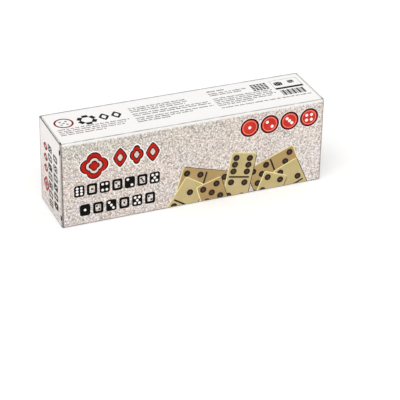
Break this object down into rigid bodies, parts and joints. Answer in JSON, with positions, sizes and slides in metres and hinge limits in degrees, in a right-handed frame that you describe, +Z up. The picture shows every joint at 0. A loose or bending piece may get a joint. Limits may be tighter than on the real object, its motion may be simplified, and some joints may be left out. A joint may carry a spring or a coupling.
{
  "type": "domino storage box",
  "caption": "Long rectangular printed paperboard carton that stores domino tiles, closed at each end by a tuck-in flap over folding dust flaps.",
  "frame": {"origin": "centre of the bounding box's bottom, on the surface that the carton stands on", "axes": "+X along the carton's length, -Y out of the front panel, +Z up"},
  "size_m": [0.186, 0.0434, 0.062],
  "materials": {
    "printed_board": "satin",
    "white_board": "satin",
    "bare_board": "matte"
  },
  "bodies": {
    "carton": {"front_panel": "printed_board", "top_panel": "white_board", "back_panel": "printed_board", "bottom_panel": "white_board", "glue_flap": "bare_board"},
    "left_end": {"left_end_panel": "printed_board"},
    "left_tuck": {"left_tuck_flap": "white_board"},
    "left_dust_top": {"left_dust_flap_top": "white_board"},
    "left_dust_bottom": {"left_dust_flap_bottom": "white_board"},
    "right_end": {"right_end_panel": "printed_board"},
    "right_tuck": {"right_tuck_flap": "white_board"},
    "right_dust_top": {"right_dust_flap_top": "white_board"},
    "right_dust_bottom": {"right_dust_flap_bottom": "white_board"}
  },
  "joints": [
    {"name": "left_end_crease", "type": "hinge", "parent": "carton", "child": "left_end", "pos_m": [-0.0927, 0.02145, 0.031], "axis": [0, 0, -1], "range_deg": [0, 180]},
    {"name": "left_tuck_crease", "type": "hinge", "parent": "left_end", "child": "left_tuck", "pos_m": [-0.0927, -0.02045, 0.031], "axis": [0, 0, 1], "range_deg": [0, 45]},
    {"name": "left_dust_top_crease", "type": "hinge", "parent": "carton", "child": "left_dust_top", "pos_m": [-0.09205, 0, 0.0617], "axis": [0, 1, 0], "range_deg": [0, 90]},
    {"name": "left_dust_bottom_crease", "type": "hinge", "parent": "carton", "child": "left_dust_bottom", "pos_m": [-0.09205, 0, 0.0003], "axis": [0, -1, 0], "range_deg": [0, 90]},
    {"name": "right_end_crease", "type": "hinge", "parent": "carton", "child": "right_end", "pos_m": [0.0927, 0.02145, 0.031], "axis": [0, 0, 1], "range_deg": [0, 180]},
    {"name": "right_tuck_crease", "type": "hinge", "parent": "right_end", "child": "right_tuck", "pos_m": [0.0927, -0.02045, 0.031], "axis": [0, 0, -1], "range_deg": [0, 45]},
    {"name": "right_dust_top_crease", "type": "hinge", "parent": "carton", "child": "right_dust_top", "pos_m": [0.09205, 0, 0.0617], "axis": [0, -1, 0], "range_deg": [0, 90]},
    {"name": "right_dust_bottom_crease", "type": "hinge", "parent": "carton", "child": "right_dust_bottom", "pos_m": [0.09205, 0, 0.0003], "axis": [0, 1, 0], "range_deg": [0, 90]}
  ],
  "couplings": [
    {"joint": "left_tuck_crease", "follows": "left_end_crease", "ratio": 0.25},
    {"joint": "left_dust_top_crease", "follows": "left_end_crease", "ratio": 0.5},
    {"joint": "left_dust_bottom_crease", "follows": "left_end_crease", "ratio": 0.5},
    {"joint": "right_tuck_crease", "follows": "right_end_crease", "ratio": 0.25},
    {"joint": "right_dust_top_crease", "follows": "right_end_crease", "ratio": 0.5},
    {"joint": "right_dust_bottom_crease", "follows": "right_end_crease", "ratio": 0.5}
  ]
}
